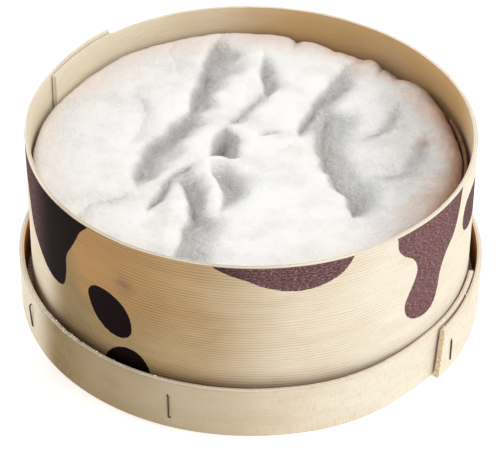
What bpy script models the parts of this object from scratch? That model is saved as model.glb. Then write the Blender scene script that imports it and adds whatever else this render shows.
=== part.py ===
# A soft round cheese in its spruce box, which stands in the box's own upturned lid.
# Metres, +Z up. The origin is on the floor under the middle of the box, and -Y is the front.

import math

import bmesh
import bpy
import numpy as np

MM = 0.001
GAP = 0.3 * MM
TURN = 360.0

# Heights above the floor
LID_DISC_TOP = 5.0 * MM
BAND_TOP = 18.9 * MM
WALL_BOTTOM = LID_DISC_TOP + GAP
WALL_TOP = 65.7 * MM
BASE_THICKNESS = 4.5 * MM
BASE_TOP = WALL_BOTTOM + BASE_THICKNESS
STRAP_BOTTOM = BASE_TOP + 2 * MM
CHEESE_BOTTOM = BASE_TOP + GAP
CHEESE_TOP = 56.4 * MM

# The bent strips of wood: thickness, then the radius of the side that faces the middle.
# Angles are in degrees round the box, with 0 at +X and -90 at the front.
WALL_THICKNESS = 1.5 * MM
WALL_RADIUS = 73.5 * MM
WALL_OUTER_END = 131.5
WALL_INNER_END = 156.8
WALL_SETTLES = 190.0
WALL_INWARD = 0.9 * MM
WALL_CORNER_RISE = 1.0 * MM
BAND_THICKNESS = 1.8 * MM
BAND_RADIUS = 77.4 * MM
BAND_OUTER_END = -38.0
BAND_INNER_END = -12.4
BAND_SETTLES = 12.0
BAND_DIVES = -72.0
BAND_INWARD = 1.9 * MM
BAND_LIFT = 0.7 * MM
STRAP_THICKNESS = 1.2 * MM
STRAP_RADIUS = 71.0 * MM
STRAP_START = 22.0
STRAP_TOPS = [(22, 49.0), (265, 49.5), (310, 53.6), (378.5, 53.8)]
STEPS_PER_TURN = 120

# The cheese, with its edge's outer radius and its shoulder's rounding at some angles round it
CHEESE_SIDE_RADIUS = STRAP_RADIUS - GAP
FOOT_ROUND = 3.0 * MM
EDGE_RADII = [
    (-78, 70.7), (19, 70.7), (32, 72.2), (75, 72.2), (125, 72.0), (154, 72.0),
    (168, 72.8), (205, 72.8), (250, 72.4), (265, 72.3),
]
SHOULDERS = [(-100, 3.2), (-40, 5.0), (20, 5.5), (60, 4.0), (100, 3.0), (150, 2.6), (200, 2.6), (260, 3.2)]
CHEESE_CELLS = 54

# Staples: angle round the box, lower leg, upper leg
STAPLE_WIRE = 0.45 * MM
STAPLE_PROUD = 0.75 * MM
BAND_STAPLES = {
    "staple_left": (-157.0, 5.2, 14.2),
    "staple_front": (-109.0, 4.2, 13.6),
    "staple_lap": (-34.0, 3.8, 12.4),
    "staple_right": (22.0, 4.6, 13.8),
    "staple_back": (72.0, 4.4, 13.6),
    "staple_back_left": (140.0, 4.8, 14.0),
}
WALL_STAPLES = {
    "staple_wall_low": (144.0, 24.0, 33.5),
    "staple_wall_high": (144.5, 48.0, 57.5),
}

# Folds of the rind, from above in millimetres. The rind rolls over on each crease's left side and
# rises gently on its right: name, route, depth, rolled width, gentle width, ease in, ease out.
CREASES = [
    ("back_left", [(-9, 72), (-13.5, 63), (-15, 55), (-16, 48), (-18, 38)], 4.0, 4.5, 21, .4, .3),
    ("back_left_low", [(-15, 56), (-16.3, 47), (-18, 38.5), (-19.5, 30), (-21, 22), (-22.5, 15)],
     4.4, 4, 13, .3, .35),
    ("long_left", [(-18.5, 28), (-23, 19), (-28, 11), (-33, 3), (-35.8, -5), (-37, -14), (-35.5, -26)],
     4.0, 6, 18, .2, .28),
    ("back_mid", [(3.2, 66), (4, 57), (4.2, 50), (4.3, 43), (4.6, 35), (5, 28)], 3.9, 3.5, 8.5, .6, .3),
    ("mid_link", [(6, 38), (2.5, 31), (-2, 24), (-6, 18), (-9.5, 12)], 2.2, 5, 9, .25, .3),
    ("mid", [(-8.4, 16), (-9.8, 11), (-11.2, 6), (-12.3, 0), (-12, -5.5)], 6.8, 3, 11, .4, .1),
    ("lobe_left", [(-17, -6), (-23.5, -14), (-28.5, -21), (-31.5, -28), (-35, -37)], 2.8, 4, 9, .25, .35),
    ("hollow", [(-15, -8), (-12, -12), (-9, -17), (-7.8, -23), (-8.8, -30), (-12, -38)],
     4.3, 3.5, 12, .3, .6),
    ("front_left", [(-21, -10), (-21.5, -16), (-20.5, -22.5), (-18.8, -30), (-18.8, -44)],
     4.6, 4, 8, .3, .3),
    ("front_left_low", [(-18.8, -27), (-18.8, -38), (-20.5, -47.5), (-23, -58), (-25, -68)],
     3.6, 3, 19, .3, 0),
    ("left_low", [(-34, -17), (-42, -24.5), (-48, -28), (-55, -35), (-63, -44)], 1.2, 5, 12, .3, 0),
    ("centre_right", [(27, 33), (25, 20), (23.5, 9), (23, 1), (24.5, -7), (26, -14), (28, -20), (31.5, -25),
                      (33, -31), (33, -42)], 4.8, 5, 17, .2, .2),
    ("back_right", [(42, 64), (34, 53), (29.8, 45), (25.6, 36.5), (22.2, 29), (19, 20), (16, 5)],
     3.8, 4, 15, .5, .16),
    ("right_lobe", [(54, 36), (48.8, 24.5), (45.6, 16.5), (42, 11), (36, 6.5), (28, 3)], 2.2, 5, 7, .45, .5),
    ("right_low", [(60, 16), (56.6, 5), (54.4, -3), (51, -15)], 3.2, 5, 7, .5, .15),
    ("lobe_foot", [(60, -12), (50, -13.5), (43, -14.5), (35, -13)], 1.8, 4, 7, .3, .4),
    ("back_notch", [(16.5, 78), (16, 69), (14.5, 62), (11, 56)], 1.5, 4, 6, 0, .6),
    ("edge_step", [(48, 64), (46, 55), (44, 48), (41, 41)], 4.0, 3, 20, 0, .85),
    ("centre_dimple", [(0, 6), (7, 10.5), (15, 7)], 1.8, 4, 5, .5, .5),
    ("small_groove", [(1, -13), (8, -11), (13, -12)], 0.8, 2, 4, .4, .4),
    ("upper_left", [(-29, 68), (-28, 58), (-26.5, 50), (-24, 40)], 0.8, 5, 7, .4, .4),
    ("left_dent", [(-43, 46), (-39, 31), (-36, 22), (-37, 12), (-42, 4), (-48, -4)], 1.2, 8, 10, .4, .4),
]

# Rounded ridges and, where the height is negative, dips: name, route, height, width, ease in, ease out
RIDGES = [
    ("back_edge", [(-58, 42), (-38, 62), (-14, 71), (10, 71)], 1.2, 9, .3, .3),
    ("dip_back", [(24, 74), (32, 66), (44, 58)], -2.0, 6, .2, .2),
    ("notch_back", [(33, 72), (28, 60)], -2.2, 2.6, 0, .7),
    ("dip_right", [(48, 66), (52, 54), (52.5, 47), (51, 38)], -3.0, 6, .1, .4),
    ("hollow_floor", [(-13, -11), (-9, -13), (-5, -16), (-2.5, -22)], -2.6, 4.5, .25, .4),
    ("curl", [(-29, -23), (-22, -15), (-17, -10.5), (-12, -8.2), (-8, -8.2), (-4, -10.5), (-1, -15)],
     3.0, 2.6, .35, .35),
    ("finger", [(-19, -11), (-16, -14), (-13.5, -19), (-12.5, -25), (-14.5, -34)], 2.6, 3.4, .3, .35),
    ("front_lobe", [(-22, -13), (-24.5, -24), (-25, -35), (-25.5, -47), (-30, -62)], 2.6, 5, .3, .2),
    ("first_ridge", [(3, 68), (0, 54), (-2, 45), (-5, 36), (-10, 26)], 2.2, 5, .3, .35),
    ("long_ridge", [(-5, 26), (-12, 14), (-18, 3), (-24, -7), (-29, -16), (-35, -26)], 2.4, 5, .3, .3),
    ("left_rise", [(-21, 50), (-25, 34), (-32, 20), (-40, 4)], 1.2, 7, .4, .4),
    ("plateau_edge", [(15, 12), (16, -4), (20, -18), (26, -31), (26, -48)], 1.8, 9, .3, .3),
    ("right_lobe_top", [(46, 40), (42, 26), (38, 12)], 2.2, 7, .4, .4),
    ("right_low_lobe", [(49, 7), (46, -4), (43, -11)], 2.4, 6, .4, .4),
    ("back_right_top", [(32, 60), (23, 46), (16, 31)], 1.4, 6, .4, .4),
    ("tongue", [(22, 26), (21.5, 16), (20, 8)], 1.0, 2.5, .4, .4),
    ("small_lobe", [(-13.5, 35), (-11, 27)], 1.8, 2.8, .4, .4),
    ("middle", [(6, 27), (4, 15)], 1.2, 5.5, .4, .4),
]
ROUTE_STEPS = 6
BLEND_POWER = 3
SLOPE_POWER = 1.6
CREASE_ROUND = 0.45
END_WIDTH = 0.4


def clear_scene():
    for thing in list(bpy.data.objects):
        bpy.data.objects.remove(thing, do_unlink=True)


def material(name, colour, roughness, metallic=0.0):
    made = bpy.data.materials.new(name)
    made.use_nodes = True
    shader = made.node_tree.nodes["Principled BSDF"]
    shader.inputs["Base Color"].default_value = (*colour, 1.0)
    shader.inputs["Roughness"].default_value = roughness
    shader.inputs["Metallic"].default_value = metallic
    made.diffuse_color = (*colour, 1.0)
    return made


def mesh_object(name, points, faces, look):
    mesh = bpy.data.meshes.new(name)
    mesh.from_pydata([tuple(p) for p in points], [], faces)
    mesh.validate()
    tidy = bmesh.new()
    tidy.from_mesh(mesh)
    bmesh.ops.recalc_face_normals(tidy, faces=tidy.faces)
    tidy.to_mesh(mesh)
    tidy.free()
    mesh.shade_smooth()
    mesh.set_sharp_from_angle(angle=math.radians(35))
    made = bpy.data.objects.new(name, mesh)
    bpy.context.scene.collection.objects.link(made)
    mesh.materials.append(look)
    return made


def ease(t):
    t = np.clip(t, 0.0, 1.0)
    return t * t * (3 - 2 * t)


def around(angle, radius, z):
    turn = math.radians(angle)
    return (radius * math.cos(turn), radius * math.sin(turn), z)


def between(stations, angle):
    """The values at an angle, eased from one station (angle, values...) to the next."""
    if angle <= stations[0][0]:
        return stations[0][1:]
    for (start, *low), (end, *high) in zip(stations, stations[1:]):
        if angle <= end:
            share = float(ease((angle - start) / (end - start)))
            return tuple(a + (b - a) * share for a, b in zip(low, high))
    return stations[-1][1:]


# Bent strips: a station is (angle, inner radius, bottom, top), and the first is the outer end


def wall_stations():
    layer = WALL_THICKNESS + GAP
    inner = WALL_RADIUS - WALL_INWARD
    return [
        (WALL_OUTER_END, WALL_RADIUS + layer, WALL_BOTTOM, WALL_TOP + WALL_CORNER_RISE),
        (WALL_INNER_END, inner + layer, WALL_BOTTOM, WALL_TOP),
        (WALL_SETTLES, WALL_RADIUS, WALL_BOTTOM, WALL_TOP),
        (WALL_OUTER_END + TURN, WALL_RADIUS, WALL_BOTTOM, WALL_TOP),
        (WALL_INNER_END + TURN, inner, WALL_BOTTOM, WALL_TOP),
    ]


def band_stations():
    layer = BAND_THICKNESS + GAP
    inner = BAND_RADIUS - BAND_INWARD
    return [
        (BAND_OUTER_END, inner + layer + BAND_LIFT, 0.0, BAND_TOP),
        (BAND_INNER_END, inner + layer, 0.0, BAND_TOP),
        (BAND_SETTLES, BAND_RADIUS, 0.0, BAND_TOP),
        (BAND_DIVES + TURN, BAND_RADIUS, 0.0, BAND_TOP),
        (BAND_OUTER_END + TURN, inner, 0.0, BAND_TOP),
        (BAND_INNER_END + TURN, inner, 0.0, BAND_TOP),
    ]


def strap_stations():
    return [(angle, STRAP_RADIUS, STRAP_BOTTOM, top * MM) for angle, top in STRAP_TOPS]


def bent_strip(name, stations, thickness, look):
    """One closed strip of wood, bent once round with its ends overlapping."""
    first, last = stations[0][0], stations[-1][0]
    count = round((last - first) / TURN * STEPS_PER_TURN)
    points, faces = [], []
    for i in range(count + 1):
        angle = first + (last - first) * i / count
        radius, bottom, top = between(stations, angle)
        outer = radius + thickness
        points += [around(angle, r, z) for r, z in
                   ((radius, bottom), (outer, bottom), (outer, top), (radius, top))]
    for i in range(count):
        a, b = 4 * i, 4 * (i + 1)
        faces += [(a + k, a + (k + 1) % 4, b + (k + 1) % 4, b + k) for k in range(4)]
    faces += [(0, 3, 2, 1), tuple(4 * count + k for k in range(4))]
    return mesh_object(name, points, faces, look)


def fitted_disc(name, stations, bottom, top, look):
    """A round board cut to lie inside a bent strip, along the strip's innermost layer."""
    end = stations[-1][0]
    clear_of_end = 0.6
    edge = [end - TURN + clear_of_end + i * (TURN - 2 * clear_of_end) / STEPS_PER_TURN
            for i in range(STEPS_PER_TURN + 1)]
    edge[-1] = end + clear_of_end
    rim = [(a, between(stations, min(a, end))[0] - GAP) for a in edge]
    count = len(rim)
    points = [around(a, r, z) for z in (bottom, top) for a, r in rim]
    faces = [(i, (i + 1) % count, count + (i + 1) % count, count + i) for i in range(count)]
    faces += [tuple(range(count)), tuple(range(count, 2 * count))]
    return mesh_object(name, points, faces, look)


# The cheese


def route(points):
    """A smooth curve through a fold's few points (Catmull-Rom)."""
    p = np.array(points, float)
    p = np.vstack([2 * p[0] - p[1], p, 2 * p[-1] - p[-2]])
    line = []
    for a, b, c, d in zip(p, p[1:], p[2:], p[3:]):
        for t in np.arange(ROUTE_STEPS) / ROUTE_STEPS:
            line.append(0.5 * (2 * b + (c - a) * t + (2 * a - 5 * b + 4 * c - d) * t * t
                               + (3 * b - a - 3 * c + d) * t ** 3))
    line.append(p[-2])
    return np.array(line)


def nearest_on(points, x, y):
    """Distance to a route, the side of it (+1 on the gentle side) and the share of its length."""
    line = route(points)
    steps = np.diff(line, axis=0)
    lengths = np.hypot(steps[:, 0], steps[:, 1])
    starts = np.concatenate([[0.0], np.cumsum(lengths)])
    distance = np.full(x.shape, np.inf)
    side = np.zeros(x.shape)
    along = np.zeros(x.shape)
    for (ax, ay), (dx, dy), length, start in zip(line, steps, lengths, starts):
        rx, ry = x - ax, y - ay
        t = np.clip((rx * dx + ry * dy) / length ** 2, 0.0, 1.0)
        here = np.hypot(rx - t * dx, ry - t * dy)
        closer = here < distance
        distance = np.where(closer, here, distance)
        side = np.where(closer, np.sign(dx * ry - dy * rx), side)
        along = np.where(closer, (start + t * length) / starts[-1], along)
    return distance, side, along


def fade(along, ease_in, ease_out):
    shown = np.ones(along.shape)
    if ease_in:
        shown = shown * ease(along / ease_in)
    if ease_out:
        shown = shown * ease((1 - along) / ease_out)
    return shown


def rind_relief(x, y):
    """Height of the folded rind above its mean level, all in millimetres."""
    dug = np.zeros(x.shape)
    for _, points, depth, rolled, gentle, ease_in, ease_out in CREASES:
        distance, side, along = nearest_on(points, x, y)
        distance = np.hypot(distance, CREASE_ROUND) - CREASE_ROUND
        shown = fade(along, ease_in, ease_out)
        width = np.where(side > 0, gentle, rolled) * (END_WIDTH + (1 - END_WIDTH) * shown)
        near = np.clip(1 - distance / width, 0, 1)
        share = np.where(side > 0, near ** SLOPE_POWER, 1 - np.sqrt(1 - near ** 2))
        dug += (depth * share * shown) ** BLEND_POWER
    raised = np.zeros(x.shape)
    for _, points, height, width, ease_in, ease_out in RIDGES:
        distance, _, along = nearest_on(points, x, y)
        raised += height * np.exp(-(distance / width) ** 2) * fade(along, ease_in, ease_out)
    return raised - dug ** (1 / BLEND_POWER)


def all_round(stations, angles):
    """Values at some angles, eased between stations that go round the whole cheese, in metres."""
    first, last = stations[0], stations[-1]
    closed = [(last[0] - TURN, last[1]), *stations, (first[0] + TURN, first[1])]
    turned = (angles - closed[0][0]) % TURN + closed[0][0]
    return np.array([between(closed, a)[0] for a in turned]) * MM


def strap_top(angle):
    stations = strap_stations()
    turned = (angle - STRAP_START) % TURN + STRAP_START
    return between(stations, turned)[2]


def cheese(look):
    """The cheese is a square grid of cells drawn out to a disc, with a shoulder, a side and a foot."""
    n = CHEESE_CELLS
    rows = np.linspace(-1, 1, n + 1)
    u, v = np.meshgrid(rows, rows)
    x = (u * np.sqrt(1 - v * v / 2)).ravel()
    y = (v * np.sqrt(1 - u * u / 2)).ravel()
    share = np.hypot(x, y)
    angles = np.degrees(np.arctan2(y, x))
    edges = all_round(EDGE_RADII, angles)
    shoulders = all_round(SHOULDERS, angles)
    inward = np.clip(edges * (1 - share) / shoulders, 0.0, 1.0)
    drop = shoulders * (1 - np.sqrt(1 - (1 - inward) ** 2))
    x, y = x * edges, y * edges
    z = CHEESE_TOP + rind_relief(x / MM, y / MM) * MM - drop
    rest = np.array([strap_top(a) + 2 * GAP for a in angles])
    z = np.where(np.hypot(x, y) > CHEESE_SIDE_RADIUS + GAP, np.maximum(z, rest), z)
    points = list(zip(x, y, z))
    faces = [(j * (n + 1) + i, j * (n + 1) + i + 1, (j + 1) * (n + 1) + i + 1, (j + 1) * (n + 1) + i)
             for j in range(n) for i in range(n)]
    front = list(range(n))
    right = [j * (n + 1) + n for j in range(n)]
    back = [n * (n + 1) + i for i in range(n, 0, -1)]
    left = [j * (n + 1) for j in range(n, 0, -1)]
    ring = front + right + back + left
    turned = angles[ring]
    under_shoulder = [
        around(a, CHEESE_SIDE_RADIUS, min(strap_top(a) + GAP, points[k][2] - GAP))
        for a, k in zip(turned, ring)
    ]
    side = [around(a, CHEESE_SIDE_RADIUS, CHEESE_BOTTOM + FOOT_ROUND) for a in turned]
    foot = [around(a, CHEESE_SIDE_RADIUS - FOOT_ROUND, CHEESE_BOTTOM) for a in turned]
    for lower_ring in (under_shoulder, side, foot):
        start = len(points)
        points += lower_ring
        lower = list(range(start, start + len(ring)))
        faces += [(ring[k - 1], ring[k], lower[k], lower[k - 1]) for k in range(len(ring))]
        ring = lower
    faces.append(tuple(ring))
    return mesh_object("cheese", points, faces, look)


# Staples


def staple(name, angle, low, high, surface, look):
    """A wire staple seen from outside: its crown stands proud and both legs turn in."""
    crown = surface + GAP + STAPLE_PROUD
    leg = surface + GAP
    corner = 0.5 * MM
    route_points = [
        around(angle, leg, low),
        around(angle, crown - corner, low),
        around(angle, crown, low + corner),
        around(angle, crown, high - corner),
        around(angle, crown - corner, high),
        around(angle, leg, high),
    ]
    wire = bpy.data.curves.new(name, "CURVE")
    wire.dimensions = "3D"
    line = wire.splines.new("POLY")
    line.points.add(len(route_points) - 1)
    for point, place in zip(line.points, route_points):
        point.co = (*place, 1.0)
    wire.bevel_depth = STAPLE_WIRE
    wire.bevel_resolution = 2
    wire.use_fill_caps = True
    wire.materials.append(look)
    made = bpy.data.objects.new(name, wire)
    bpy.context.scene.collection.objects.link(made)
    return made


def main():
    clear_scene()
    rind = material("rind", (0.87, 0.86, 0.84), 0.9)
    bark = material("bark", (0.24, 0.12, 0.07), 0.85)
    veneer = material("veneer", (0.74, 0.6, 0.4), 0.7)
    board = material("board", (0.78, 0.66, 0.48), 0.75)
    steel = material("staple_steel", (0.22, 0.2, 0.19), 0.45, 0.9)

    wall, band = wall_stations(), band_stations()
    bent_strip("box_wall", wall, WALL_THICKNESS, veneer)
    fitted_disc("box_base", wall, WALL_BOTTOM, BASE_TOP, board)
    bent_strip("lid_band", band, BAND_THICKNESS, veneer)
    fitted_disc("lid_disc", band, 0.0, LID_DISC_TOP, board)
    bent_strip("bark_strap", strap_stations(), STRAP_THICKNESS, bark)
    cheese(rind)

    for stations, thickness, staples in (
        (band, BAND_THICKNESS, BAND_STAPLES),
        (wall, WALL_THICKNESS, WALL_STAPLES),
    ):
        for name, (angle, low, high) in staples.items():
            turned = (angle - stations[0][0]) % TURN + stations[0][0]
            surface = between(stations, turned)[0] + thickness
            staple(name, angle, low * MM, high * MM, surface, steel)


main()
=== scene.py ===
# Looks for a soft round cheese in its spruce box, which stands in its own upturned lid.
# Metres, +Z up, -Y towards the camera; values named in millimetres are multiplied by MM.

import math

import bmesh
import bpy
import numpy as np
from mathutils import Matrix, Vector


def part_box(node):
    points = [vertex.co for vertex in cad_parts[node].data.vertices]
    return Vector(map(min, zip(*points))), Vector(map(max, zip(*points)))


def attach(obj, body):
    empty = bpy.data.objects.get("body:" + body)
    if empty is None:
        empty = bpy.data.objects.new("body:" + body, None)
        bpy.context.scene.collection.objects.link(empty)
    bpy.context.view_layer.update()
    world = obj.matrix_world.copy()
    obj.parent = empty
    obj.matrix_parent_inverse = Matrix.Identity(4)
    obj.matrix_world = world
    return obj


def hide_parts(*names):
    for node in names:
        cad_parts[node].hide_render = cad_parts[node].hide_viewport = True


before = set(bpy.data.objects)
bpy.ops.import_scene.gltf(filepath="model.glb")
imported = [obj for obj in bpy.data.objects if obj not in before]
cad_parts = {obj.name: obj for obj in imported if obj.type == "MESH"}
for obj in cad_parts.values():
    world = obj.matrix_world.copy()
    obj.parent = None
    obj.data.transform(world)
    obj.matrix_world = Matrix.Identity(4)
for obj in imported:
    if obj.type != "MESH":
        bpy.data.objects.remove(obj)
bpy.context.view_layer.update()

MM = 0.001
GAP = 0.3 * MM
TURN = 360.0

# Heights: read from the solids, but for the wall's corner and the rind's mean level
WALL_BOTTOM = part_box("box_wall")[0].z
WALL_CORNER_RISE = 1.0 * MM
WALL_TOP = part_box("box_wall")[1].z - WALL_CORNER_RISE
BAND_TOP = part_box("lid_band")[1].z
STRAP_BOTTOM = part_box("bark_strap")[0].z
CHEESE_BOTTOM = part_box("cheese")[0].z
CHEESE_TOP = 56.4 * MM

# The bent strips: angles in degrees round the box, with 0 at +X and -90 at the front,
# and the radius of the side that faces the middle
WALL_THICKNESS = 1.5 * MM
WALL_RADIUS = 73.5 * MM
WALL_OUTER_END = 131.5
WALL_INNER_END = 156.8
WALL_SETTLES = 190.0
WALL_INWARD = 0.9 * MM
BAND_THICKNESS = 1.8 * MM
BAND_RADIUS = 77.4 * MM
BAND_OUTER_END = -38.0
BAND_INNER_END = -12.4
BAND_SETTLES = 12.0
BAND_DIVES = -72.0
BAND_INWARD = 1.9 * MM
BAND_LIFT = 0.7 * MM
BAND_END_SLANT = 1.5
STRAP_THICKNESS = 1.2 * MM
STRAP_RADIUS = 71.0 * MM
STRAP_START = 22.0
STRAP_TOPS = [(22, 49.0), (265, 49.5), (310, 53.6), (378.5, 53.8)]
EDGE_ROUND = 0.22 * MM
SHARP_ANGLE = 50

# The cheese. The outer radius of its edge and the rounding of its shoulder are in millimetres,
# at some angles round it.
CHEESE_SIDE_RADIUS = STRAP_RADIUS - GAP
FOOT_ROUND = 3.0 * MM
EDGE_RADII = [
    (-78, 70.7), (19, 70.7), (32, 72.2), (75, 72.2), (125, 72.0), (154, 72.0),
    (168, 72.8), (205, 72.8), (250, 72.4), (265, 72.3),
]
SHOULDERS = [
    (-100, 3.2), (-40, 5.0), (20, 5.5), (60, 4.0), (100, 3.0), (150, 2.6), (200, 2.6), (260, 3.2),
]
EDGE_WAVER = 0.12 * MM
EDGE_WAVER_TURN = 4.0
EDGE_SEED = 40
CHEESE_CELLS = 290

# Folds of the rind, from above in millimetres. The rind rolls over on each crease's left side and
# rises gently on its right: name, route, depth, rolled width, gentle width, ease in, ease out.
CREASES = [
    ("back_left", [(-9, 72), (-13.5, 63), (-15, 55), (-16, 48), (-18, 38)], 4.0, 4.5, 21, .4, .3),
    ("back_left_low", [(-15, 56), (-16.3, 47), (-18, 38.5), (-19.5, 30), (-21, 22), (-22.5, 15)],
     4.4, 4, 13, .3, .35),
    ("long_left", [(-18.5, 28), (-23, 19), (-28, 11), (-33, 3), (-35.8, -5), (-37, -14), (-35.5, -26)],
     4.0, 6, 18, .2, .28),
    ("back_mid", [(3.2, 66), (4, 57), (4.2, 50), (4.3, 43), (4.6, 35), (5, 28)], 3.9, 3.5, 8.5, .6, .3),
    ("mid_link", [(6, 38), (2.5, 31), (-2, 24), (-6, 18), (-9.5, 12)], 2.2, 5, 9, .25, .3),
    ("mid", [(-8.4, 16), (-9.8, 11), (-11.2, 6), (-12.3, 0), (-12, -5.5)], 6.8, 3, 11, .4, .1),
    ("lobe_left", [(-17, -6), (-23.5, -14), (-28.5, -21), (-31.5, -28), (-35, -37)], 2.8, 4, 9, .25, .35),
    ("hollow", [(-15, -8), (-12, -12), (-9, -17), (-7.8, -23), (-8.8, -30), (-12, -38)],
     4.3, 3.5, 12, .3, .6),
    ("front_left", [(-21, -10), (-21.5, -16), (-20.5, -22.5), (-18.8, -30), (-18.8, -44)],
     4.6, 4, 8, .3, .3),
    ("front_left_low", [(-18.8, -27), (-18.8, -38), (-20.5, -47.5), (-23, -58), (-25, -68)],
     3.6, 3, 19, .3, 0),
    ("left_low", [(-34, -17), (-42, -24.5), (-48, -28), (-55, -35), (-63, -44)], 1.2, 5, 12, .3, 0),
    ("centre_right", [(27, 33), (25, 20), (23.5, 9), (23, 1), (24.5, -7), (26, -14), (28, -20), (31.5, -25),
                      (33, -31), (33, -42)], 4.8, 5, 17, .2, .2),
    ("back_right", [(42, 64), (34, 53), (29.8, 45), (25.6, 36.5), (22.2, 29), (19, 20), (16, 5)],
     3.8, 4, 15, .5, .16),
    ("right_lobe", [(54, 36), (48.8, 24.5), (45.6, 16.5), (42, 11), (36, 6.5), (28, 3)], 2.2, 5, 7, .45, .5),
    ("right_low", [(60, 16), (56.6, 5), (54.4, -3), (51, -15)], 3.2, 5, 7, .5, .15),
    ("lobe_foot", [(60, -12), (50, -13.5), (43, -14.5), (35, -13)], 1.8, 4, 7, .3, .4),
    ("back_notch", [(16.5, 78), (16, 69), (14.5, 62), (11, 56)], 1.5, 4, 6, 0, .6),
    ("edge_step", [(48, 64), (46, 55), (44, 48), (41, 41)], 4.0, 3, 20, 0, .85),
    ("centre_dimple", [(0, 6), (7, 10.5), (15, 7)], 1.8, 4, 5, .5, .5),
    ("small_groove", [(1, -13), (8, -11), (13, -12)], 0.8, 2, 4, .4, .4),
    ("upper_left", [(-29, 68), (-28, 58), (-26.5, 50), (-24, 40)], 0.8, 5, 7, .4, .4),
    ("left_dent", [(-43, 46), (-39, 31), (-36, 22), (-37, 12), (-42, 4), (-48, -4)], 1.2, 8, 10, .4, .4),
]

# Rounded ridges and, where the height is negative, dips: name, route, height, width, ease in, ease out
RIDGES = [
    ("back_edge", [(-58, 42), (-38, 62), (-14, 71), (10, 71)], 1.2, 9, .3, .3),
    ("dip_back", [(24, 74), (32, 66), (44, 58)], -2.0, 6, .2, .2),
    ("notch_back", [(33, 72), (28, 60)], -2.2, 2.6, 0, .7),
    ("dip_right", [(48, 66), (52, 54), (52.5, 47), (51, 38)], -3.0, 6, .1, .4),
    ("hollow_floor", [(-13, -11), (-9, -13), (-5, -16), (-2.5, -22)], -2.6, 4.5, .25, .4),
    ("curl", [(-29, -23), (-22, -15), (-17, -10.5), (-12, -8.2), (-8, -8.2), (-4, -10.5), (-1, -15)],
     3.0, 2.6, .35, .35),
    ("finger", [(-19, -11), (-16, -14), (-13.5, -19), (-12.5, -25), (-14.5, -34)], 2.6, 3.4, .3, .35),
    ("front_lobe", [(-22, -13), (-24.5, -24), (-25, -35), (-25.5, -47), (-30, -62)], 2.6, 5, .3, .2),
    ("first_ridge", [(3, 68), (0, 54), (-2, 45), (-5, 36), (-10, 26)], 2.2, 5, .3, .35),
    ("long_ridge", [(-5, 26), (-12, 14), (-18, 3), (-24, -7), (-29, -16), (-35, -26)], 2.4, 5, .3, .3),
    ("left_rise", [(-21, 50), (-25, 34), (-32, 20), (-40, 4)], 1.2, 7, .4, .4),
    ("plateau_edge", [(15, 12), (16, -4), (20, -18), (26, -31), (26, -48)], 1.8, 9, .3, .3),
    ("right_lobe_top", [(46, 40), (42, 26), (38, 12)], 2.2, 7, .4, .4),
    ("right_low_lobe", [(49, 7), (46, -4), (43, -11)], 2.4, 6, .4, .4),
    ("back_right_top", [(32, 60), (23, 46), (16, 31)], 1.4, 6, .4, .4),
    ("tongue", [(22, 26), (21.5, 16), (20, 8)], 1.0, 2.5, .4, .4),
    ("small_lobe", [(-13.5, 35), (-11, 27)], 1.8, 2.8, .4, .4),
    ("middle", [(6, 27), (4, 15)], 1.2, 5.5, .4, .4),
]
ROUTE_STEPS = 6
BLEND_POWER = 3
SLOPE_POWER = 1.6
CREASE_ROUND = 0.45
END_WIDTH = 0.4
WAVER = [(7.0, 1.0), (2.6, 0.35)]
WAVER_SEEDS = (60, 70)

# Small unevenness of the rind's skin: size across and height, both in millimetres. The heights are
# multiplied by how coarse the skin is: more in the creases, and more to the right of x = ROUGH_FROM.
SKIN_LUMPS = [(19.0, 0.6), (9.0, 0.5), (4.5, 0.3), (2.0, 0.2), (1.0, 0.16)]
SKIN_SHIFT = 200
COARSE_BASE = 0.45
COARSE_IN_CREASES = 1.5
COARSE_CREASE_DEPTH = 3
COARSE_AT_RIGHT = 0.9
ROUGH_FROM = 25
ROUGH_REACH = 35

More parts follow.
